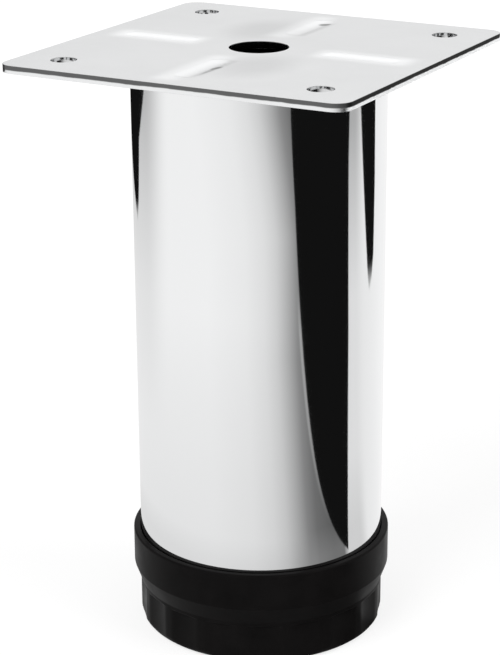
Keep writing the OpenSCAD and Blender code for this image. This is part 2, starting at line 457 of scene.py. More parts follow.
def build_spot_group(name):
    """Soft round or oval spot, from its middle (1) to its rim (0)"""
    sockets = [("Vector", VECTOR, None), ("Centre", VECTOR, None),
               ("Size", VECTOR, (1.0, 1.0, 1.0)), ("Core", FLOAT, 0.5)]
    tree, start, end = new_group(name, "ShaderNodeTree", sockets, [("Mask", FLOAT)])
    given = start.outputs
    away = vector_math(tree, "SUBTRACT", given["Vector"], given["Centre"])
    distance = length(tree, vector_math(tree, "DIVIDE", away, given["Size"]))
    mask = map_range(tree, distance, given["Core"], 1.0, 1.0, 0.0, smooth=True)
    set_inputs(tree, end, {"Mask": mask})


SHADER_GROUPS = {
    "cloudy mottle": build_mottle_group,
    "hairlines": build_hairline_group,
    "moulded grain": build_grain_group,
    "press mark": build_mark_group,
    "soft spot": build_spot_group,
}


def use_group(tree, name, inputs):
    """Output of a shared group placed in a material with its own values; its first use builds it"""
    if name not in bpy.data.node_groups:
        SHADER_GROUPS[name](name)
    return add_node(tree, "ShaderNodeGroup", inputs, node_tree=bpy.data.node_groups[name]).outputs[0]


def mottle(tree, place, patch_scale, contrast):
    """Mask of soft clouds"""
    return use_group(tree, "cloudy mottle", {
        "Vector": place, "Patch Scale": patch_scale, "Contrast": contrast})


def hairlines(tree, place, line_scale, sharpness):
    """Mask of fine lines"""
    return use_group(tree, "hairlines", {
        "Vector": place, "Line Scale": line_scale, "Sharpness": sharpness})


# Finishes

# Where the clouds are used in full, on the chrome and on the other finishes
CHROME_CLOUDS = (0.2, 0.8)
CLOUDS = (0.1, 0.9)


def new_material(name):
    """Material with its own Principled shader, and the Object coordinates"""
    material = bpy.data.materials.new(name)
    tree = empty_tree(material)
    shader = tree.nodes.new("ShaderNodeBsdfPrincipled")
    add_node(tree, "ShaderNodeOutputMaterial", {"Surface": shader.outputs["BSDF"]})
    return material, tree, shader, tree.nodes.new("ShaderNodeTexCoord").outputs["Object"]


def shade(colour, factor):
    """Colour scaled by a factor, with its alpha"""
    return (*(min(1.0, c * factor) for c in colour), 1.0)


def bump(tree, height, strength, distance):
    """Normal of a surface that is raised by a height"""
    return add_node(tree, "ShaderNodeBump", {
        "Strength": strength, "Distance": distance, "Height": height}).outputs["Normal"]


def chrome_material(colour):
    """Bright chrome over a polished tube, with faint polishing lines and breath marks"""
    material, tree, shader, place = new_material("tube_chrome_finish")
    clouds = mottle(tree, place, patch_scale=38.0, contrast=1.6)
    lines = hairlines(tree, place, line_scale=(260.0, 260.0, 5200.0), sharpness=2.0)
    breath = map_range(tree, clouds, *CHROME_CLOUDS, 0.035, 0.055)
    set_inputs(tree, shader, {
        "Base Color": mix_colour(tree, clouds, shade(colour, 0.985), shade(colour, 1.0)),
        "Metallic": 1.0,
        "Roughness": calculate(tree, "MULTIPLY_ADD", lines, 0.02, breath),
        "Normal": bump(tree, lines, strength=0.02, distance=0.02 * MM),
    })
    return material


def plastic_material(name, colour, smoothest, roughest):
    """Black moulded plastic with an eroded grain and a cloudy roughness"""
    material, tree, shader, place = new_material(name)
    clouds = mottle(tree, place, patch_scale=120.0, contrast=2.4)
    grain = use_group(tree, "moulded grain", {"Vector": place, "Grain Scale": 2600.0})
    set_inputs(tree, shader, {
        "Base Color": mix_colour(tree, clouds, shade(colour, 0.8), shade(colour, 1.45)),
        "Roughness": map_range(tree, clouds, *CLOUDS, smoothest, roughest),
        "IOR": 1.49,
        "Specular IOR Level": 0.05,
        "Normal": bump(tree, grain, strength=0.25, distance=0.03 * MM),
    })
    return material


def zinc_steel_material(name, colour, line_scale):
    """Zinc-plated steel with lines from its turning or rolling"""
    material, tree, shader, place = new_material(name)
    clouds = mottle(tree, place, patch_scale=220.0, contrast=2.4)
    lines = hairlines(tree, place, line_scale, sharpness=1.5)
    worn = map_range(tree, clouds, *CLOUDS, 0.22, 0.4)
    set_inputs(tree, shader, {
        "Base Color": mix_colour(tree, clouds, shade(colour, 0.85), shade(colour, 1.08)),
        "Metallic": 1.0,
        "Roughness": calculate(tree, "MULTIPLY_ADD", lines, 0.1, worn),
        "Normal": bump(tree, lines, strength=0.2, distance=0.02 * MM),
    })
    return material


# Painted highlights and shade on the plate's press marks: from the middle outward, and how wide and how
# soft.
# Those along X are painted bright all over; those along Y are painted bright on their left and painted shade
# on their right.
SIDE_MARK = {"Start": 13 * MM, "End": 41 * MM, "Half Width": 6.4 * MM, "Softness": 5.2 * MM}
END_MARK = {"Start": 10 * MM, "End": 42 * MM, "Centre": -2.2 * MM, "Half Width": 5.0 * MM,
            "Softness": 4.6 * MM}
SHADED_FLANK_MARK = {"Start": 15 * MM, "End": 34 * MM, "Centre": 2.3 * MM, "Half Width": 1.9 * MM,
             "Softness": 1.5 * MM}
END_MARK_SHARE = 0.7

# Painted shade in two dents and along a streak, and two darker patches, on the plate: centre in X and Y,
# half width in X and Y, and share of full strength
FRONT_DENT_SHADE = (2.3 * MM, -24.0 * MM, 1.5 * MM, 2.6 * MM, 0.45)
FRONT_STREAK_SHADE = (2.4 * MM, -27.0 * MM, 1.3 * MM, 5.5 * MM, 0.3)
BACK_DENT_SHADE = (0.9 * MM, 32.2 * MM, 1.9 * MM, 1.9 * MM, 0.45)
BACK_DARKER_PATCH = (-9 * MM, 19 * MM, 12 * MM, 17 * MM, 0.2)
FRONT_DARKER_PATCH = (9 * MM, -19 * MM, 12 * MM, 17 * MM, 0.2)
STREAK_SHARE = 0.55

# How upright a surface is: the sides of the plate at the first value, its faces at the second
SIDE_TO_FACE = (0.35, 0.75)

# Where the plate's outer sides begin, its right side and its left corner, in from its outline
RIM_IN = (5.5 * MM, 5.0 * MM)
RIGHT_SIDE_IN = (0.7 * MM, 0.2 * MM)
CORNER_IN_X = (1.7 * MM, 2.5 * MM)
CORNER_IN_Y = (4.0 * MM, 5.0 * MM)

# The torn upper part of the sheared sides, which carries painted shade: its depth, how ragged it is and how
# much deeper at the corner
TORN_DEPTH = (0.98 * MM, 0.7 * MM)
RAGGED = 0.35 * MM
CORNER_DEEPER = 0.9 * MM

# Light of each mark as a share of the plating's, and of the torn part at the front and at its darkest.
# Shares above one are painted highlights and those below are painted shade, but for the darker patches.
MARK_SHARES = {"darkened": 0.86, "painted_shade_flank": 0.88, "painted_highlight": 1.26, "dent_shades": 0.3, "polished": 1.25}
TORN_SHADE_SHARES = (0.24, 0.04)

# Roughness of the holes' walls, what the lines and the torn part add, and metal of the frosted right side
BORE_ROUGHNESS = 0.1
LINES_ROUGHER = 0.06
TORN_ROUGHER = 0.25
FROSTED_METAL = 0.3


def plate_spot(tree, flat, x, y, half_x, half_y, core):
    """Mask of a soft oval spot on the plate"""
    return use_group(tree, "soft spot", {
        "Vector": flat, "Centre": (x, y, 0.0), "Size": (half_x, half_y, 1.0), "Core": core})


def plate_top_masks(tree, apart, along_x, along_y):
    """Masks of the painted highlights and shade on the press marks, the painted shade in two dents and a
    streak, and two darker patches on the plate's top
    """
    flat = combine(tree, apart[0], apart[1])
    side_marks = use_group(tree, "press mark", {"Along": along_x, "Across": apart[1], **SIDE_MARK})
    end_marks = use_group(tree, "press mark", {"Along": along_y, "Across": apart[0], **END_MARK})
    dent_shades = [plate_spot(tree, flat, *FRONT_DENT_SHADE), plate_spot(tree, flat, *BACK_DENT_SHADE),
             times(tree, plate_spot(tree, flat, *FRONT_STREAK_SHADE), STREAK_SHARE)]
    dark_patches = [plate_spot(tree, flat, *BACK_DARKER_PATCH), plate_spot(tree, flat, *FRONT_DARKER_PATCH)]
    # painted highlights on the marks, painted shade on a flank and in the dents, and two darker patches
    return {
        "painted_highlight": largest(tree, side_marks, times(tree, end_marks, END_MARK_SHARE)),
        "painted_shade_flank": use_group(tree, "press mark", {"Along": along_y, "Across": apart[0], **SHADED_FLANK_MARK}),
        "dent_shades": largest(tree, *dent_shades),
        "darkened": largest(tree, *dark_patches),
    }


def plate_side_masks(tree, apart, along_x, along_y, blotches):
    """Masks of the walls of the holes and of the sheared sides: torn and rougher above, with painted shade
    that is deepest at the right side and the left corner, polished below, with a painted highlight
    """
    normal = tree.nodes["Texture Coordinate"].outputs["Normal"]
    upright = calculate(tree, "ABSOLUTE", separate(tree, normal)[2])
    side = map_range(tree, upright, *SIDE_TO_FACE, 1.0, 0.0)
    rim = map_range(tree, largest(tree, along_x, along_y), *(PLATE_HALF - d for d in RIM_IN), 0.0, 1.0)
    right_side = map_range(tree, apart[0], *(PLATE_HALF - d for d in RIGHT_SIDE_IN), 0.0, 1.0)
    left_corner = times(tree, map_range(tree, apart[0], *(d - PLATE_HALF for d in CORNER_IN_X), 1.0, 0.0),
                        map_range(tree, apart[1], *(d - PLATE_HALF for d in CORNER_IN_Y), 1.0, 0.0))
    ragged = calculate(tree, "MULTIPLY_ADD", blotches, RAGGED, apart[2])
    ragged = calculate(tree, "MULTIPLY_ADD", left_corner, CORNER_DEEPER, ragged)
    above = map_range(tree, ragged, *(LEG_HEIGHT - d for d in TORN_DEPTH), 0.0, 1.0, smooth=True)
    outer = times(tree, side, rim)
    # the polished lower band gets a painted highlight and the torn upper band painted shade, deepest at the
    # right side and the left corner
    polished = times(tree, outer, calculate(tree, "SUBTRACT", 1.0, above))
    return {
        "bore": times(tree, side, calculate(tree, "SUBTRACT", 1.0, rim)),
        "torn_and_shaded": times(tree, outer, above),
        "polished": polished,
        "deepest_shade": largest(tree, right_side, left_corner),
        "frosted": times(tree, polished, right_side),
    }


def satin_plate_material(colour, roughness):
    """Satin zinc on rolled sheet, with painted highlights and shade on the press marks, painted shade in two
    dents, two darker patches, and sheared sides with painted shade above and a painted highlight below
    """
    material, tree, shader, place = new_material("plate_satin_finish")
    clouds = mottle(tree, place, patch_scale=34.0, contrast=1.6)
    blotches = mottle(tree, place, patch_scale=150.0, contrast=1.4)
    lines = hairlines(tree, place, line_scale=(90.0, 2600.0, 2600.0), sharpness=1.4)
    apart = separate(tree, place)
    along_x = calculate(tree, "ABSOLUTE", apart[0])
    along_y = calculate(tree, "ABSOLUTE", apart[1])
    masks = plate_top_masks(tree, apart, along_x, along_y)
    masks.update(plate_side_masks(tree, apart, along_x, along_y, blotches))

    base = mix_colour(tree, clouds, shade(colour, 0.97), shade(colour, 1.02))
    # painted shade of the torn band, and the painted highlights and shade of the marks, scale the plating's
    # colour
    torn_shade_share = blend(tree, masks["deepest_shade"], *TORN_SHADE_SHARES)
    level = times(tree, *(blend(tree, masks[name], 1.0, share) for name, share in MARK_SHARES.items()),
                  blend(tree, masks["torn_and_shaded"], 1.0, torn_shade_share))
    patchy = map_range(tree, blotches, *CLOUDS, roughness - 0.02, roughness + 0.03)
    drawn = calculate(tree, "MULTIPLY_ADD", lines, LINES_ROUGHER, patchy)
    cut = blend(tree, masks["bore"], drawn, BORE_ROUGHNESS)
    height = calculate(tree, "ADD", blotches, lines)
    set_inputs(tree, shader, {
        "Base Color": scaled(tree, base, level),
        "Metallic": blend(tree, masks["frosted"], 1.0, FROSTED_METAL),
        "Roughness": calculate(tree, "MULTIPLY_ADD", masks["torn_and_shaded"], TORN_ROUGHER, cut),
        "Normal": bump(tree, height, strength=0.06, distance=0.03 * MM),
    })
    return material


# Geometry Nodes

# Softness of a flute's edges, the least distance from the axis, and a thread's flank as shares of its pitch
FLUTE_SOFTNESS = 0.25
NEAR_AXIS = 1e-6
THREAD_FLANK = (0.06, 0.44)


def add_geometry_nodes(piece, tree, values):
    """Puts a tree on a piece, with its named inputs set by their identifiers"""
    modifier = piece.modifiers.new(tree.name, "NODES")
    modifier.node_group = tree
    for item in tree.interface.items_tree:
        if item.item_type == "SOCKET" and item.in_out == "INPUT" and item.name in values:
            modifier[item.identifier] = values[item.name]


def round_the_axis(tree):
    """A point's X, Y and Z, its place seen from above, and its turn about the axis as a share"""
    apart = separate(tree, tree.nodes.new("GeometryNodeInputPosition").outputs[0])
    flat = combine(tree, apart[0], apart[1])
    turn = calculate(tree, "DIVIDE", calculate(tree, "ARCTAN2", apart[1], apart[0]), FULL_TURN)
    return apart, flat, turn


def compare(tree, operation, first, second):
    """Selection of the points where one value is less or more than another"""
    return add_node(tree, "FunctionNodeCompare", {0: first, 1: second},
                    data_type="FLOAT", operation=operation).outputs[0]


def finish_geometry(tree, geometry, material, end):
    """Realises a tree's instances, sets the material and joins the result to the output"""
    real = add_node(tree, "GeometryNodeRealizeInstances", {"Geometry": geometry}).outputs[0]
    painted = add_node(tree, "GeometryNodeSetMaterial", {"Geometry": real, "Material": material}).outputs[0]
    set_inputs(tree, end, {"Geometry": painted})


def build_foot_tree():
    """Presses upright flutes into a turned foot and stands ribs round its hub"""
    sockets = [
        ("Geometry", GEOMETRY, None), ("Material", MATERIAL, None), ("Grip Radius", FLOAT, 0.0),
        ("Flute Count", INTEGER, 18), ("Flute Width", FLOAT, 0.0), ("Flute Depth", FLOAT, 0.0),
        ("Flute Top", FLOAT, 0.0), ("Run-out", FLOAT, 0.0),
        ("Rib Count", INTEGER, 6), ("Rib Size", VECTOR, None), ("Rib Place", VECTOR, None),
    ]
    tree, start, end = new_group("foot flutes and ribs", "GeometryNodeTree", sockets,
                                 [("Geometry", GEOMETRY)])
    given = start.outputs
    apart, flat, turn = round_the_axis(tree)

    # Each point moves in towards the axis until it lies on the hollow of its flute
    from_middle = calculate(tree, "PINGPONG", times(tree, turn, given["Flute Count"]), 0.5)
    pitch = calculate(tree, "DIVIDE", times(tree, given["Grip Radius"], FULL_TURN), given["Flute Count"])
    half_width = times(tree, given["Flute Width"], 0.5)
    across = calculate(tree, "DIVIDE", times(tree, from_middle, pitch), half_width)
    hollow = calculate(tree, "SUBTRACT", 1.0, times(tree, across, across))
    soft_hollow = calculate(tree, "SMOOTH_MAX", hollow, 0.0, FLUTE_SOFTNESS)
    run_out = calculate(tree, "SUBTRACT", given["Flute Top"], given["Run-out"])
    fade = map_range(tree, apart[2], run_out, given["Flute Top"], 1.0, 0.0, smooth=True)
    cut = times(tree, soft_hollow, given["Flute Depth"], fade)
    radius = length(tree, flat)
    reach = calculate(tree, "MINIMUM", radius, calculate(tree, "SUBTRACT", given["Grip Radius"], cut))
    factor = calculate(tree, "DIVIDE", reach, largest(tree, radius, NEAR_AXIS))
    pressed = combine(tree, times(tree, apart[0], factor), times(tree, apart[1], factor), apart[2])
    fluted = add_node(tree, "GeometryNodeSetPosition", {
        "Geometry": given["Geometry"], "Position": pressed,
        "Selection": compare(tree, "LESS_THAN", apart[2], given["Flute Top"])}).outputs[0]

    # One rib is repeated round the hub
    rib = add_node(tree, "GeometryNodeMeshCube", {"Size": given["Rib Size"]}).outputs["Mesh"]
    placed_rib = add_node(tree, "GeometryNodeTransform", {
        "Geometry": rib, "Translation": given["Rib Place"]}).outputs[0]
    index = tree.nodes.new("GeometryNodeInputIndex").outputs[0]
    angle = times(tree, index, calculate(tree, "DIVIDE", FULL_TURN, given["Rib Count"]))
    ribs = add_node(tree, "GeometryNodeInstanceOnPoints", {
        "Points": add_node(tree, "GeometryNodePoints", {"Count": given["Rib Count"]}).outputs[0],
        "Instance": placed_rib, "Rotation": combine(tree, z=angle)}).outputs[0]
    joined = tree.nodes.new("GeometryNodeJoinGeometry")
    tree.links.new(ribs, joined.inputs[0])
    tree.links.new(fluted, joined.inputs[0])
    finish_geometry(tree, joined.outputs[0], given["Material"], end)
    return tree


def build_thread_tree():
    """Raises a thread on a finely turned spindle, between two heights"""
    sockets = [
        ("Geometry", GEOMETRY, None), ("Material", MATERIAL, None), ("Depth", FLOAT, 0.0),
        ("Pitch", FLOAT, 0.0), ("Low End", FLOAT, 0.0), ("High End", FLOAT, 0.0),
    ]
    tree, start, end = new_group("spindle thread", "GeometryNodeTree", sockets, [("Geometry", GEOMETRY)])
    given = start.outputs
    apart, flat, turn = round_the_axis(tree)
    wound = calculate(tree, "SUBTRACT", calculate(tree, "DIVIDE", apart[2], given["Pitch"]), turn)
    ridge = map_range(tree, calculate(tree, "PINGPONG", wound, 0.5), *THREAD_FLANK, 0.0, 1.0)
    fade_in = map_range(tree, apart[2], given["Low End"],
                        calculate(tree, "ADD", given["Low End"], given["Pitch"]), 0.0, 1.0)
    fade_out = map_range(tree, apart[2], calculate(tree, "SUBTRACT", given["High End"], given["Pitch"]),
                         given["High End"], 1.0, 0.0)
    raised = times(tree, ridge, given["Depth"], fade_in, fade_out)
    threaded = add_node(tree, "GeometryNodeSetPosition", {
        "Geometry": given["Geometry"], "Offset": scaled(tree, vector_math(tree, "NORMALIZE", flat), raised),
        "Selection": compare(tree, "GREATER_THAN", apart[2], given["Low End"])}).outputs[0]
    finish_geometry(tree, threaded, given["Material"], end)
    return tree


# Pieces


class CABINETLEG_OT_mounting_plate(bpy.types.Operator):
    """Replaces the mounting plate by one with rounded stamped edges and a satin finish"""
    bl_idname = "cabinet_leg.mounting_plate"
    bl_label = "Mounting Plate"

    def execute(self, context):
        settings = context.scene.cabinet_leg_plate
        material = satin_plate_material(settings.colour, settings.roughness)
        same_point = 0.001 * MM
        same_face = math.radians(0.05)
        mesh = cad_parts["mounting_plate"].data.copy()
        bm = bmesh.new()
        bm.from_mesh(mesh)
        bmesh.ops.remove_doubles(bm, verts=bm.verts, dist=same_point)
        bmesh.ops.dissolve_limit(bm, angle_limit=same_face, verts=bm.verts, edges=bm.edges)
        bm.to_mesh(mesh)
        bm.free()
        plate = new_piece("plate_sheet", mesh, material)
        edge = plate.modifiers.new("stamped edges", "BEVEL")
        edge.width = settings.edge_round
        edge.segments = 3
        edge.limit_method = "ANGLE"
        edge.angle_limit = math.radians(50)
        finish_piece(plate, material, crease_deg=30)
        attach(plate, "leg")
        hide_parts("mounting_plate")
        return {"FINISHED"}


class CABINETLEG_OT_leg_tube(bpy.types.Operator):
    """Replaces the tube by a finely turned one with a plated weld fillet under the plate"""
    bl_idname = "cabinet_leg.leg_tube"
    bl_label = "Leg Tube"

    def execute(self, context):
        settings = context.scene.cabinet_leg_tube
        material = chrome_material(settings.colour)
        bore, outside = radii("leg_tube")
        low, high = TUBE_BOX[0].z, TUBE_BOX[1].z
        fillet = settings.weld_fillet
        flange = high - fillet / 4
        outline = rounded_outline([
            (bore, low, settings.edge_round),
            (outside, low, settings.edge_round),
            (outside, flange, fillet),
            (outside + fillet, flange, 0),
            (outside + fillet, high, 0),
            (bore, high, 0),
        ])
        tube = new_piece("chrome_tube", turned_mesh("chrome_tube", outline, segments=240), material)
        finish_piece(tube, material, crease_deg=40)
        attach(tube, "leg")
        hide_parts("leg_tube")
        return {"FINISHED"}


# Sizes of the foot that its box doesn't give
COLLAR_SIDE = 9 * MM
COLLAR_DEPTH = 11.5 * MM
SLIDING_FIT = 0.1 * MM
SLOPE_HEIGHT = 4.3 * MM
GRIP_STEP = 1.55 * MM
GRIP_WALL = 2.65 * MM
FLUTE_LAND = 0.7 * MM
FLUTE_RUN_OUT = 0.45 * MM
SOLE_ROUND = 2 * MM
SOLE_RING = 4 * MM
SOLE_RECESS = 0.8 * MM
HUB_WALL = 3.2 * MM
HUB_HEIGHT = 5.6 * MM
RIB_HEIGHT = 4.8 * MM
RIB_SUNK = 1.2 * MM

# Roundings of the foot's edges
SOFT_EDGE = 0.25 * MM
RIM_ROUND = 0.5 * MM
MOUTH_ROUND = 0.35 * MM
COLLAR_ROUND = 0.8 * MM
GRIP_ROUND = 0.6 * MM
WALL_ROOT = 0.6 * MM
HUB_ROOT = 0.4 * MM


class CABINETLEG_OT_foot(bpy.types.Operator):
    """Replaces the foot by one with softly edged flutes, its ribs and its hub"""
    bl_idname = "cabinet_leg.foot"
    bl_label = "Moulded Foot"

    def execute(self, context):
        settings = context.scene.cabinet_leg_foot
        material = plastic_material("foot_plastic_finish", settings.colour, smoothest=0.34, roughest=0.46)
        top = FOOT_BOX[1].z
        collar = FOOT_BOX[1].x
        collar_bore = radii("leg_tube")[1] + SLIDING_FIT
        collar_bottom = top - COLLAR_SIDE
        ledge = top - COLLAR_DEPTH
        grip = collar - GRIP_STEP
        grip_top = collar_bottom - SLOPE_HEIGHT
        grip_bore = grip - GRIP_WALL
        floor_top = SPINDLE_BOX[0].z
        hub_bore = SPINDLE_BOX[1].x + SLIDING_FIT
        hub = hub_bore + HUB_WALL
        hub_top = floor_top + HUB_HEIGHT
        ring_inner = grip - SOLE_ROUND - SOLE_RING
        flute_top = grip_top - FLUTE_LAND
        rows = 6
        outline = rounded_outline([
            (0, SOLE_RECESS, 0),
            (ring_inner, SOLE_RECESS, SOFT_EDGE),
            (ring_inner, 0, SOFT_EDGE),
            (grip, 0, SOLE_ROUND),
            *[(grip, flute_top - FLUTE_RUN_OUT * (rows - k) / rows, 0) for k in range(rows + 1)],
            (grip, grip_top, GRIP_ROUND),
            (collar, collar_bottom, COLLAR_ROUND),
            (collar, top, RIM_ROUND),
            (collar_bore, top, MOUTH_ROUND),
            (collar_bore, ledge, SOFT_EDGE),
            (grip_bore, ledge, SOFT_EDGE),
            (grip_bore, floor_top, WALL_ROOT),
            (hub, floor_top, HUB_ROOT),
            (hub, hub_top, SOFT_EDGE),
            (hub_bore, hub_top, SOFT_EDGE),
            (hub_bore, floor_top, 0),
            (0, floor_top, 0),
        ])
        shell = turned_mesh("foot_moulding", outline, segments=360, closed=False)
        foot = new_piece("foot_moulding", shell, material)
        rib_inner, rib_outer = hub - RIB_SUNK, grip_bore + RIB_SUNK / 2
        add_geometry_nodes(foot, build_foot_tree(), {
            "Flute Count": settings.flute_count,
            "Flute Width": settings.flute_width,
            "Flute Depth": settings.flute_depth,
            "Flute Top": flute_top,
            "Run-out": FLUTE_RUN_OUT,
            "Grip Radius": grip,
            "Rib Count": settings.rib_count,
            "Rib Size": (rib_outer - rib_inner, settings.rib_thickness, RIB_HEIGHT + RIB_SUNK),
            "Rib Place": ((rib_outer + rib_inner) / 2, 0, floor_top + (RIB_HEIGHT - RIB_SUNK) / 2),
            "Material": material,
        })
        finish_piece(foot, material, crease_deg=35)
        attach(foot, "foot")
        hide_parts("foot")
        return {"FINISHED"}


# Sizes of the spindle that its box doesn't give
HEAD_THICKNESS = 3 * MM
HEAD_ROUND = 0.3 * MM
THREAD_RADIUS = 5 * MM
PLAIN_LENGTH = 2.6 * MM
PLAIN_ROUND = 0.2 * MM
TIP_CHAMFER = 0.6 * MM
SLOT_WIDTH = 1.6 * MM
SLOT_DEPTH = 2.6 * MM
ROWS_PER_PITCH = 10


class CABINETLEG_OT_spindle(bpy.types.Operator):
    """Replaces the spindle by one with its thread and screwdriver slot"""
    bl_idname = "cabinet_leg.spindle"
    bl_label = "Spindle"

    def execute(self, context):
        settings = context.scene.cabinet_leg_spindle
        material = zinc_steel_material("spindle_zinc_finish", settings.colour, (500.0, 500.0, 6500.0))
        low, high = SPINDLE_BOX[0].z, SPINDLE_BOX[1].z
        head = SPINDLE_BOX[1].x
        head_top = low + HEAD_THICKNESS
        plain_top = head_top + PLAIN_LENGTH
        core = THREAD_RADIUS - settings.thread_depth
        thread_low = plain_top + settings.thread_depth
        thread_high = high - TIP_CHAMFER
        rows = round(ROWS_PER_PITCH * (thread_high - thread_low) / settings.thread_pitch)
        outline = rounded_outline([
            (0, low, 0),
            (head, low, HEAD_ROUND),
            (head, head_top, HEAD_ROUND),
            (THREAD_RADIUS, head_top, PLAIN_ROUND),
            (THREAD_RADIUS, plain_top, PLAIN_ROUND),
            *[(core, thread_low + (thread_high - thread_low) * k / rows, 0) for k in range(rows + 1)],
            (core - TIP_CHAMFER, high, 0),
            (0, high, 0),
        ], steps=4)
        rod = turned_mesh("spindle_screw", outline, segments=64, closed=False)
        spindle = new_piece("spindle_screw", rod, material)
        add_geometry_nodes(spindle, build_thread_tree(), {
            "Depth": settings.thread_depth,
            "Pitch": settings.thread_pitch,
            "Low End": thread_low,
            "High End": thread_high,
            "Material": material,
        })
        bake_modifiers(spindle, material)
        cut_box(spindle, material, (4 * THREAD_RADIUS, SLOT_WIDTH, 2 * SLOT_DEPTH), (0, 0, high))
        finish_piece(spindle, material, crease_deg=32)
        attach(spindle, "spindle")
        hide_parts("spindle")
        return {"FINISHED"}


class CABINETLEG_OT_inner_pieces(bpy.types.Operator):
    """Gives the plug, the nut and the retaining ring their finishes"""
    bl_idname = "cabinet_leg.inner_pieces"
    bl_label = "Inner Pieces"

    def execute(self, context):
        steel = context.scene.cabinet_leg_spindle.colour
        plug_grey = [2.2 * c for c in context.scene.cabinet_leg_foot.colour]
        ring_steel = [0.8 * c for c in steel]
        finishes = {
            "tube_plug": plastic_material("plug_plastic_finish", plug_grey, smoothest=0.42, roughest=0.56),
            "spindle_nut": zinc_steel_material("nut_zinc_finish", steel, (900.0, 900.0, 900.0)),
            "retaining_ring": zinc_steel_material("ring_steel_finish", ring_steel, (3000.0, 300.0, 300.0)),
        }
        for name, material in finishes.items():
            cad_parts[name].material_slots[0].material = material
        return {"FINISHED"}


# Stage

# Outlines of the dark cards on the floor, across and away in metres, as the chrome mirrors them
RIGHT_CARD = (
    (0.075, -0.020), (0.085, -0.045), (0.101, -0.085), (0.136, -0.168), (0.170, -0.253), (0.213, -0.362),
    (0.263, -0.519), (0.50, -1.10), (1.20, -1.10), (1.20, -0.055), (0.487, -0.051), (0.253, -0.028),
)
BACK_CARD = (
    (0.264, 0.115), (0.291, 0.111), (0.321, 0.111), (0.435, 0.107), (0.600, 0.095), (1.20, 0.09),
    (1.20, 0.80), (0.461, 0.303), (0.366, 0.242), (0.310, 0.196), (0.281, 0.172), (0.267, 0.143),
)
LEFT_CARD = (
    (-0.225, 0.288), (-0.269, 0.298), (-0.333, 0.332), (-0.365, 0.353), (-0.434, 0.343), (-0.90, 0.24),
    (-0.90, 1.00), (-0.05, 1.00), (-0.100, 0.520), (-0.200, 0.345),
)

# Each card's name, its outline and the two distances from the leg between which it fades in
DARK_CARDS = (
    ("dark_card_right", RIGHT_CARD, (0.0, 0.01)),
    ("dark_card_back", BACK_CARD, (0.283, 0.322)),
    ("dark_card_left", LEFT_CARD, (0.365, 0.40)),
)
CARD_EDGE_LIGHT = 0.6
CARD_LIGHT = 0.006
CARD_HEIGHT = 0.2 * MM
FLOOR_HEIGHT = -0.05 * MM

# Each lamp's name, its place in metres across, away and up, its watts, and whether the chrome mirrors it
SOFTBOXES = (
    ("key", (-0.7, -0.75, 1.15), 14.0, False),
    ("fill", (0.9, -0.4, 0.8), 8.0, False),
    ("back", (0.1, 1.1, 0.85), 1.2, True),
)
SOFTBOX_SIZE = 0.9

# Painted light of the mirrored floor in front of the leg, against the angle from the camera to the right,
# with painted shade towards the right card
FRONT_LIGHT = (
    (-45, 0.93), (-12, 0.87), (4, 0.78), (14, 0.66), (24, 0.45), (32, 0.27), (40, 0.18), (54, 0.13),
)

# Changes of the floor with the distance from the leg in metres: near, far, value near and value far
FAR_TURN = (0.38, 0.60, 0.0, 15.0)
NEAR_TURN = (0.09, 0.24, -7.0, 0.0)
DIM_NEAR = (0.10, 0.28, 0.89, 1.0)
DIM_BY_THE_FOOT = (0.080, 0.098, 0.90, 1.0)
LIFT_BY_THE_FOOT = (0.082, 0.100, 0.07, 0.0)
STRIP_WIDTH = (0.10, 0.27, 4 * MM, 13 * MM)
STRIP_STARTS = (0.10, 0.17, 0.0, 0.15)
STRIP_ENDS = (0.26, 0.31, 1.0, 0.0)
LEFT_DARKER = (0.15, 0.60, 0.0, 0.42)
BESIDE_NEAR = (0.09, 0.14, 0.66, 0.77)
BESIDE_DARKER = (0.29, 0.56, 0.0, 0.33)
SHADOW_FADES = (0.12, 0.9, 0.68, 1.0)

# Changes of the floor with the angle from the camera to the right, in degrees
LIFT_SIDE = (30.0, 45.0, 0.0, 1.0)
LEFT_SIDE = (-120.0, -85.0, 1.0, 0.0)
PAST_CARD = (71.0, 76.0, 0.0, 1.0)
BESIDE_TO_BEHIND = (91.0, 106.0, 0.0, 1.0)
BEHIND = (104.0, 140.0, 0.85, 0.94)

# The right card's left edge: the direction straight across it, and how far it lies from the leg
CARD_EDGE_ACROSS = (0.927, 0.374)
CARD_EDGE_PLACE = 62.5 * MM

# Light of the floor's glow to the camera, and where the floor is clear for the sole that stands on it
FLOOR_GLOW = 1.12
TOUCHING = 1.2 * MM
SOLE_RADIUS = 28.5 * MM

# Light of the sky by its height, of the dark flags in it, and of the even light on all else
SKY_LIGHT = (0.0, 0.9, 0.744, 0.64)
FLAG_LIGHT = 0.02
EVEN_LIGHT = 0.4

# Angles between which the dark flags stand, over the right and the left card, and how high they reach
RIGHT_FLAG = (34.0, 40.0, 70.0, 78.0)
LEFT_FLAG = (-150.0, -144.0, -134.0, -128.0)
FLAG_HEIGHT = (0.35, 0.6, 1.0, 0.0)


def stage_point(across, away, height=0.0):
    """Row-frame point from distances to the camera's right and away from it"""
    azimuth = bpy.context.scene.cabinet_leg_stage.view_azimuth
    return Matrix.Rotation(azimuth, 3, "Z") @ Vector((across, away, height))


def flat_shape(name, points, height, material):
    """Flat stage shape from (across, away) corners"""
    mesh = bpy.data.meshes.new(name)
    corners = [stage_point(x, y, height) for x, y in points]
    mesh.from_pydata(corners, [], [list(range(len(corners)))])
    mesh.materials.append(material)
    made = bpy.data.objects.new(name, mesh)
    bpy.context.scene.collection.objects.link(made)
    return made


def glossy_only(card):
    """Lets a card be seen in reflections and nowhere else"""
    for ray in ("camera", "diffuse", "transmission", "volume_scatter", "shadow"):
        setattr(card, "visible_" + ray, False)


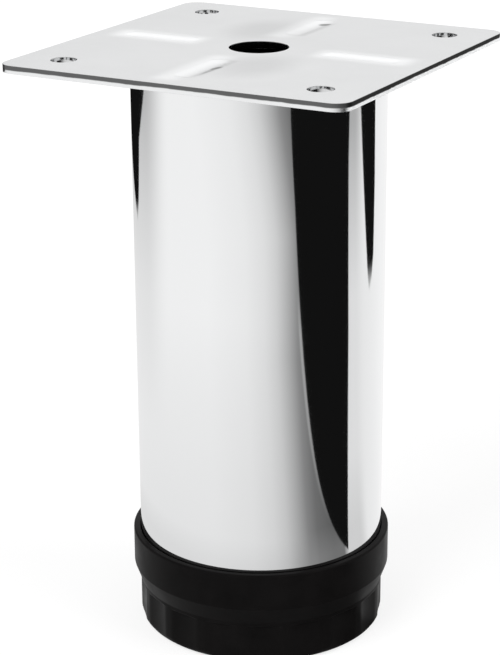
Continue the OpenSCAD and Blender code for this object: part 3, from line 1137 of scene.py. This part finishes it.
def card_material(name, fade):
    """Dark card that fades in over a span of distances from the leg"""
    material = bpy.data.materials.new(name)
    tree = empty_tree(material)
    distance = length(tree, tree.nodes.new("ShaderNodeTexCoord").outputs["Object"])
    level = map_range(tree, distance, *fade, CARD_EDGE_LIGHT, CARD_LIGHT, smooth=True)
    add_node(tree, "ShaderNodeOutputMaterial", {"Surface": emission(tree, level)})
    return material


def ramp_node(tree, value, stops):
    """Output of a colour ramp through (position, level) stops, given a value over the same span"""
    low, high = stops[0][0], stops[-1][0]
    ramp = add_node(tree, "ShaderNodeValToRGB", {0: map_range(tree, value, low, high, 0.0, 1.0)})
    band = ramp.color_ramp
    while len(band.elements) < len(stops):
        band.elements.new(0.5)
    for element, (position, level) in zip(band.elements, stops):
        element.position = (position - low) / (high - low)
        element.color = (level, level, level, 1.0)
    return ramp.outputs["Color"]


def from_the_camera(tree, vector):
    """Across, away and up of a place or direction, and its angle in degrees from the camera to the right"""
    azimuth = bpy.context.scene.cabinet_leg_stage.view_azimuth
    turned = add_node(tree, "ShaderNodeMapping", {"Vector": vector, "Rotation": (0.0, 0.0, -azimuth)},
                      vector_type="POINT").outputs[0]
    apart = separate(tree, turned)
    radians = calculate(tree, "ARCTAN2", apart[0], times(tree, apart[1], -1.0))
    return apart, calculate(tree, "DEGREES", radians)


def mirrored_floor(tree, apart, distance, angle):
    """Light of the floor as the chrome mirrors it: a glow of painted light and painted shade, with no lamp
    """

    # In front: bright to the left, with painted shade towards the card at the right
    turned_angle = angle
    for turn in (FAR_TURN, NEAR_TURN):
        turned_angle = calculate(tree, "ADD", turned_angle, map_range(tree, distance, *turn))
    front = times(tree, ramp_node(tree, turned_angle, FRONT_LIGHT), map_range(tree, distance, *DIM_NEAR),
                  map_range(tree, distance, *DIM_BY_THE_FOOT))
    lift = times(tree, map_range(tree, distance, *LIFT_BY_THE_FOOT), map_range(tree, angle, *LIFT_SIDE))
    front = calculate(tree, "ADD", front, lift)

    # A soft light strip along the left edge of the right card, wider with the distance
    from_edge = calculate(tree, "MULTIPLY_ADD", apart[0], CARD_EDGE_ACROSS[0],
                          times(tree, apart[1], CARD_EDGE_ACROSS[1]))
    width = map_range(tree, distance, *STRIP_WIDTH)
    outer = calculate(tree, "SUBTRACT", CARD_EDGE_PLACE, width)
    strip = map_range(tree, from_edge, outer, calculate(tree, "MULTIPLY_ADD", width, 0.5, outer),
                      0.0, 1.0, smooth=True)
    strip_light = times(tree, map_range(tree, distance, *STRIP_STARTS),
                        map_range(tree, distance, *STRIP_ENDS))
    front = calculate(tree, "MULTIPLY_ADD", strip, strip_light, front)

    # At the left: a little darker with the distance
    darker = times(tree, map_range(tree, angle, *LEFT_SIDE, smooth=True),
                   map_range(tree, distance, *LEFT_DARKER))
    front_left = calculate(tree, "SUBTRACT", front, darker)

    # At the right, past the card: light again, less so near the leg and far from it
    beside = calculate(tree, "SUBTRACT", map_range(tree, distance, *BESIDE_NEAR),
                       map_range(tree, distance, *BESIDE_DARKER))
    right = blend(tree, map_range(tree, angle, *BESIDE_TO_BEHIND, smooth=True),
                  beside, map_range(tree, angle, *BEHIND))
    return blend(tree, map_range(tree, angle, *PAST_CARD), front_left, right)


def floor_material(colour):
    """Pale floor that the camera sees as white with a soft shadow, and the chrome as a soft grey ramp of
    painted light and shade
    """
    material = bpy.data.materials.new("floor_finish")
    tree = empty_tree(material)
    place = tree.nodes.new("ShaderNodeTexCoord").outputs["Object"]
    apart, angle = from_the_camera(tree, place)
    distance = length(tree, place)
    mirrored = emission(tree, mirrored_floor(tree, apart, distance, angle))
    lit = add_node(tree, "ShaderNodeBsdfDiffuse", {"Color": (*colour, 1.0)}).outputs[0]
    whiter = map_range(tree, distance, *SHADOW_FADES, smooth=True)
    seen = mix_shader(tree, whiter, lit, emission(tree, FLOOR_GLOW))
    path = tree.nodes.new("ShaderNodeLightPath").outputs
    surface = mix_shader(tree, path["Is Camera Ray"], lit, seen)
    surface = mix_shader(tree, path["Is Glossy Ray"], surface, mirrored)

    # From below the floor is clear, and so it is for the sole that stands on it
    underside = tree.nodes.new("ShaderNodeNewGeometry").outputs["Backfacing"]
    touching = calculate(tree, "LESS_THAN", path["Ray Length"], TOUCHING)
    under_sole = calculate(tree, "LESS_THAN", distance, SOLE_RADIUS)
    clear = tree.nodes.new("ShaderNodeBsdfTransparent").outputs[0]
    whole = mix_shader(tree, largest(tree, underside, touching, under_sole), surface, clear)
    add_node(tree, "ShaderNodeOutputMaterial", {"Surface": whole})
    return material


def background(tree, strength):
    """Output of a white background of some strength"""
    return add_node(tree, "ShaderNodeBackground", {"Color": WHITE, "Strength": strength}).outputs[0]


def build_world():
    """White to the camera, a soft sky to reflections and an even light to everything else"""
    world = bpy.data.worlds.new("studio")
    bpy.context.scene.world = world
    tree = empty_tree(world)
    apart, angle = from_the_camera(tree, tree.nodes.new("ShaderNodeTexCoord").outputs["Generated"])

    # Dark flags stand over two cards, so that the chrome has its bands from low views too
    either = largest(tree, window(tree, angle, *RIGHT_FLAG), window(tree, angle, *LEFT_FLAG))
    height = calculate(tree, "ABSOLUTE", apart[2])
    flags = times(tree, either, map_range(tree, height, *FLAG_HEIGHT, smooth=True))
    sky = times(tree, map_range(tree, apart[2], *SKY_LIGHT, smooth=True),
                blend(tree, flags, 1.0, FLAG_LIGHT))
    path = tree.nodes.new("ShaderNodeLightPath").outputs
    surface = mix_shader(tree, path["Is Glossy Ray"], background(tree, EVEN_LIGHT), background(tree, sky))
    surface = mix_shader(tree, path["Is Camera Ray"], surface, background(tree, 1.0))
    add_node(tree, "ShaderNodeOutputWorld", {"Surface": surface})


def add_softbox(name, place, power, mirrored):
    """Square lamp that looks at the middle of the leg"""
    lamp = bpy.data.lights.new(name, "AREA")
    lamp.shape = "SQUARE"
    lamp.size = SOFTBOX_SIZE
    lamp.energy = power
    made = bpy.data.objects.new(name, lamp)
    made.location = stage_point(*place)
    aim = Vector((0, 0, LEG_HEIGHT / 2)) - made.location
    made.rotation_euler = aim.to_track_quat("-Z", "Y").to_euler()
    made.visible_glossy = mirrored
    bpy.context.scene.collection.objects.link(made)


def add_camera():
    """Camera where the photograph was taken from"""
    settings = bpy.context.scene.cabinet_leg_stage
    camera = bpy.data.cameras.new("photo_camera")
    camera.sensor_width = SENSOR_MM
    camera.lens = settings.focal_px * SENSOR_MM / PHOTO_HEIGHT_PX
    camera.clip_start = 0.01
    camera.clip_end = 20
    made = bpy.data.objects.new("photo_camera", camera)
    place = stage_point(0, -settings.view_distance, LEG_HEIGHT + settings.view_height)
    turn = Matrix.Rotation(settings.view_azimuth + settings.view_pan, 4, "Z")
    tilt = Matrix.Rotation(math.pi / 2 - settings.view_pitch, 4, "X")
    roll = Matrix.Rotation(settings.view_roll, 4, "Z")
    made.matrix_world = Matrix.Translation(place) @ turn @ tilt @ roll
    bpy.context.scene.collection.objects.link(made)
    bpy.context.scene.camera = made


class CABINETLEG_OT_stage(bpy.types.Operator):
    """Adds the camera, the pale floor, the cards that the chrome mirrors and the lamps"""
    bl_idname = "cabinet_leg.stage"
    bl_label = "Stage"

    def execute(self, context):
        settings = context.scene.cabinet_leg_stage
        context.scene.view_settings.view_transform = "Standard"
        half = settings.floor_size / 2
        square = [(-half, -half), (half, -half), (half, half), (-half, half)]
        flat_shape("floor", square, FLOOR_HEIGHT, floor_material(settings.floor_colour))
        for name, outline, fade in DARK_CARDS:
            glossy_only(flat_shape(name, outline, CARD_HEIGHT, card_material(name, fade)))
        for softbox in SOFTBOXES:
            add_softbox(*softbox)
        build_world()
        add_camera()
        return {"FINISHED"}


class CABINETLEG_PT_sidebar(bpy.types.Panel):
    """Lists the steps that dress the leg"""
    bl_idname = "CABINETLEG_PT_sidebar"
    bl_label = "Cabinet Leg"
    bl_space_type = "VIEW_3D"
    bl_region_type = "UI"
    bl_category = "Cabinet Leg"

    def draw(self, context):
        for step in STEPS:
            self.layout.operator(step.bl_idname)
        for name, settings in SETTINGS.items():
            box = self.layout.box()
            for field in settings.__annotations__:
                box.prop(getattr(context.scene, name), field)


SETTINGS = {
    "cabinet_leg_plate": CabinetLegPlateSettings,
    "cabinet_leg_tube": CabinetLegTubeSettings,
    "cabinet_leg_foot": CabinetLegFootSettings,
    "cabinet_leg_spindle": CabinetLegSpindleSettings,
    "cabinet_leg_stage": CabinetLegStageSettings,
}
STEPS = (
    CABINETLEG_OT_stage,
    CABINETLEG_OT_mounting_plate,
    CABINETLEG_OT_leg_tube,
    CABINETLEG_OT_foot,
    CABINETLEG_OT_spindle,
    CABINETLEG_OT_inner_pieces,
)


def register():
    for name, settings in SETTINGS.items():
        bpy.utils.register_class(settings)
        setattr(bpy.types.Scene, name, bpy.props.PointerProperty(type=settings))
    for step in STEPS:
        bpy.utils.register_class(step)
    bpy.utils.register_class(CABINETLEG_PT_sidebar)


def unregister():
    bpy.utils.unregister_class(CABINETLEG_PT_sidebar)
    for step in reversed(STEPS):
        bpy.utils.unregister_class(step)
    for name, settings in SETTINGS.items():
        delattr(bpy.types.Scene, name)
        bpy.utils.unregister_class(settings)


def main():
    register()
    bpy.ops.cabinet_leg.stage()
    bpy.ops.cabinet_leg.mounting_plate()
    bpy.ops.cabinet_leg.leg_tube()
    bpy.ops.cabinet_leg.foot()
    bpy.ops.cabinet_leg.spindle()
    bpy.ops.cabinet_leg.inner_pieces()


if __name__ == "__main__":
    main()
